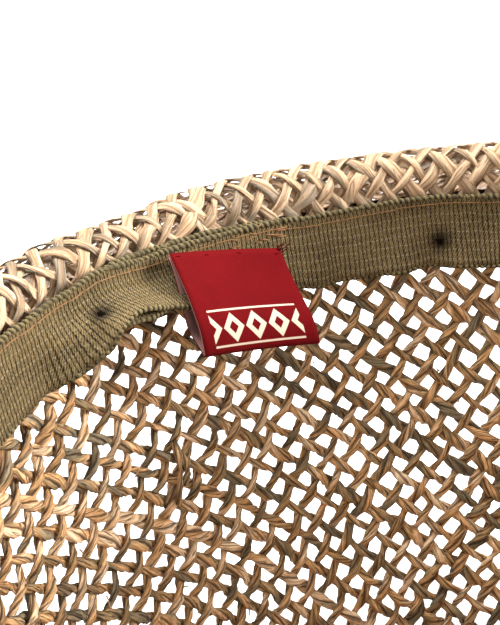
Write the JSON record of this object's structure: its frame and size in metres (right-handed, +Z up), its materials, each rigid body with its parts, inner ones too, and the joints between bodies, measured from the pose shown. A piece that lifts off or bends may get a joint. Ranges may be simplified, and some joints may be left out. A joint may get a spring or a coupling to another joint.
{
  "type": "fedora in open plaited seagrass straw",
  "caption": "Fedora of open diagonally plaited seagrass with a teardrop crown, turned-up back brim, grosgrain sweatband, woven loop label and plain hatband, resting on its crown.",
  "frame": {"origin": "on the surface that the crown's ridge rests on, under the middle of the whole hat's box", "axes": "+Z up out of the head opening, +Y towards the back of the head and the label, +X towards the wearer's right-hand side; the hat is upside down"},
  "size_m": [0.2638, 0.2952, 0.117],
  "materials": {
    "crown_straw": "matte",
    "brim_straw": "matte",
    "sweatband_ribbon": "matte",
    "hatband_ribbon": "matte",
    "label_cloth": "satin"
  },
  "bodies": {
    "root": {"crown": "crown_straw", "brim": "brim_straw", "sweatband": "sweatband_ribbon", "hatband": "hatband_ribbon", "label": "label_cloth"}
  },
  "joints": []
}
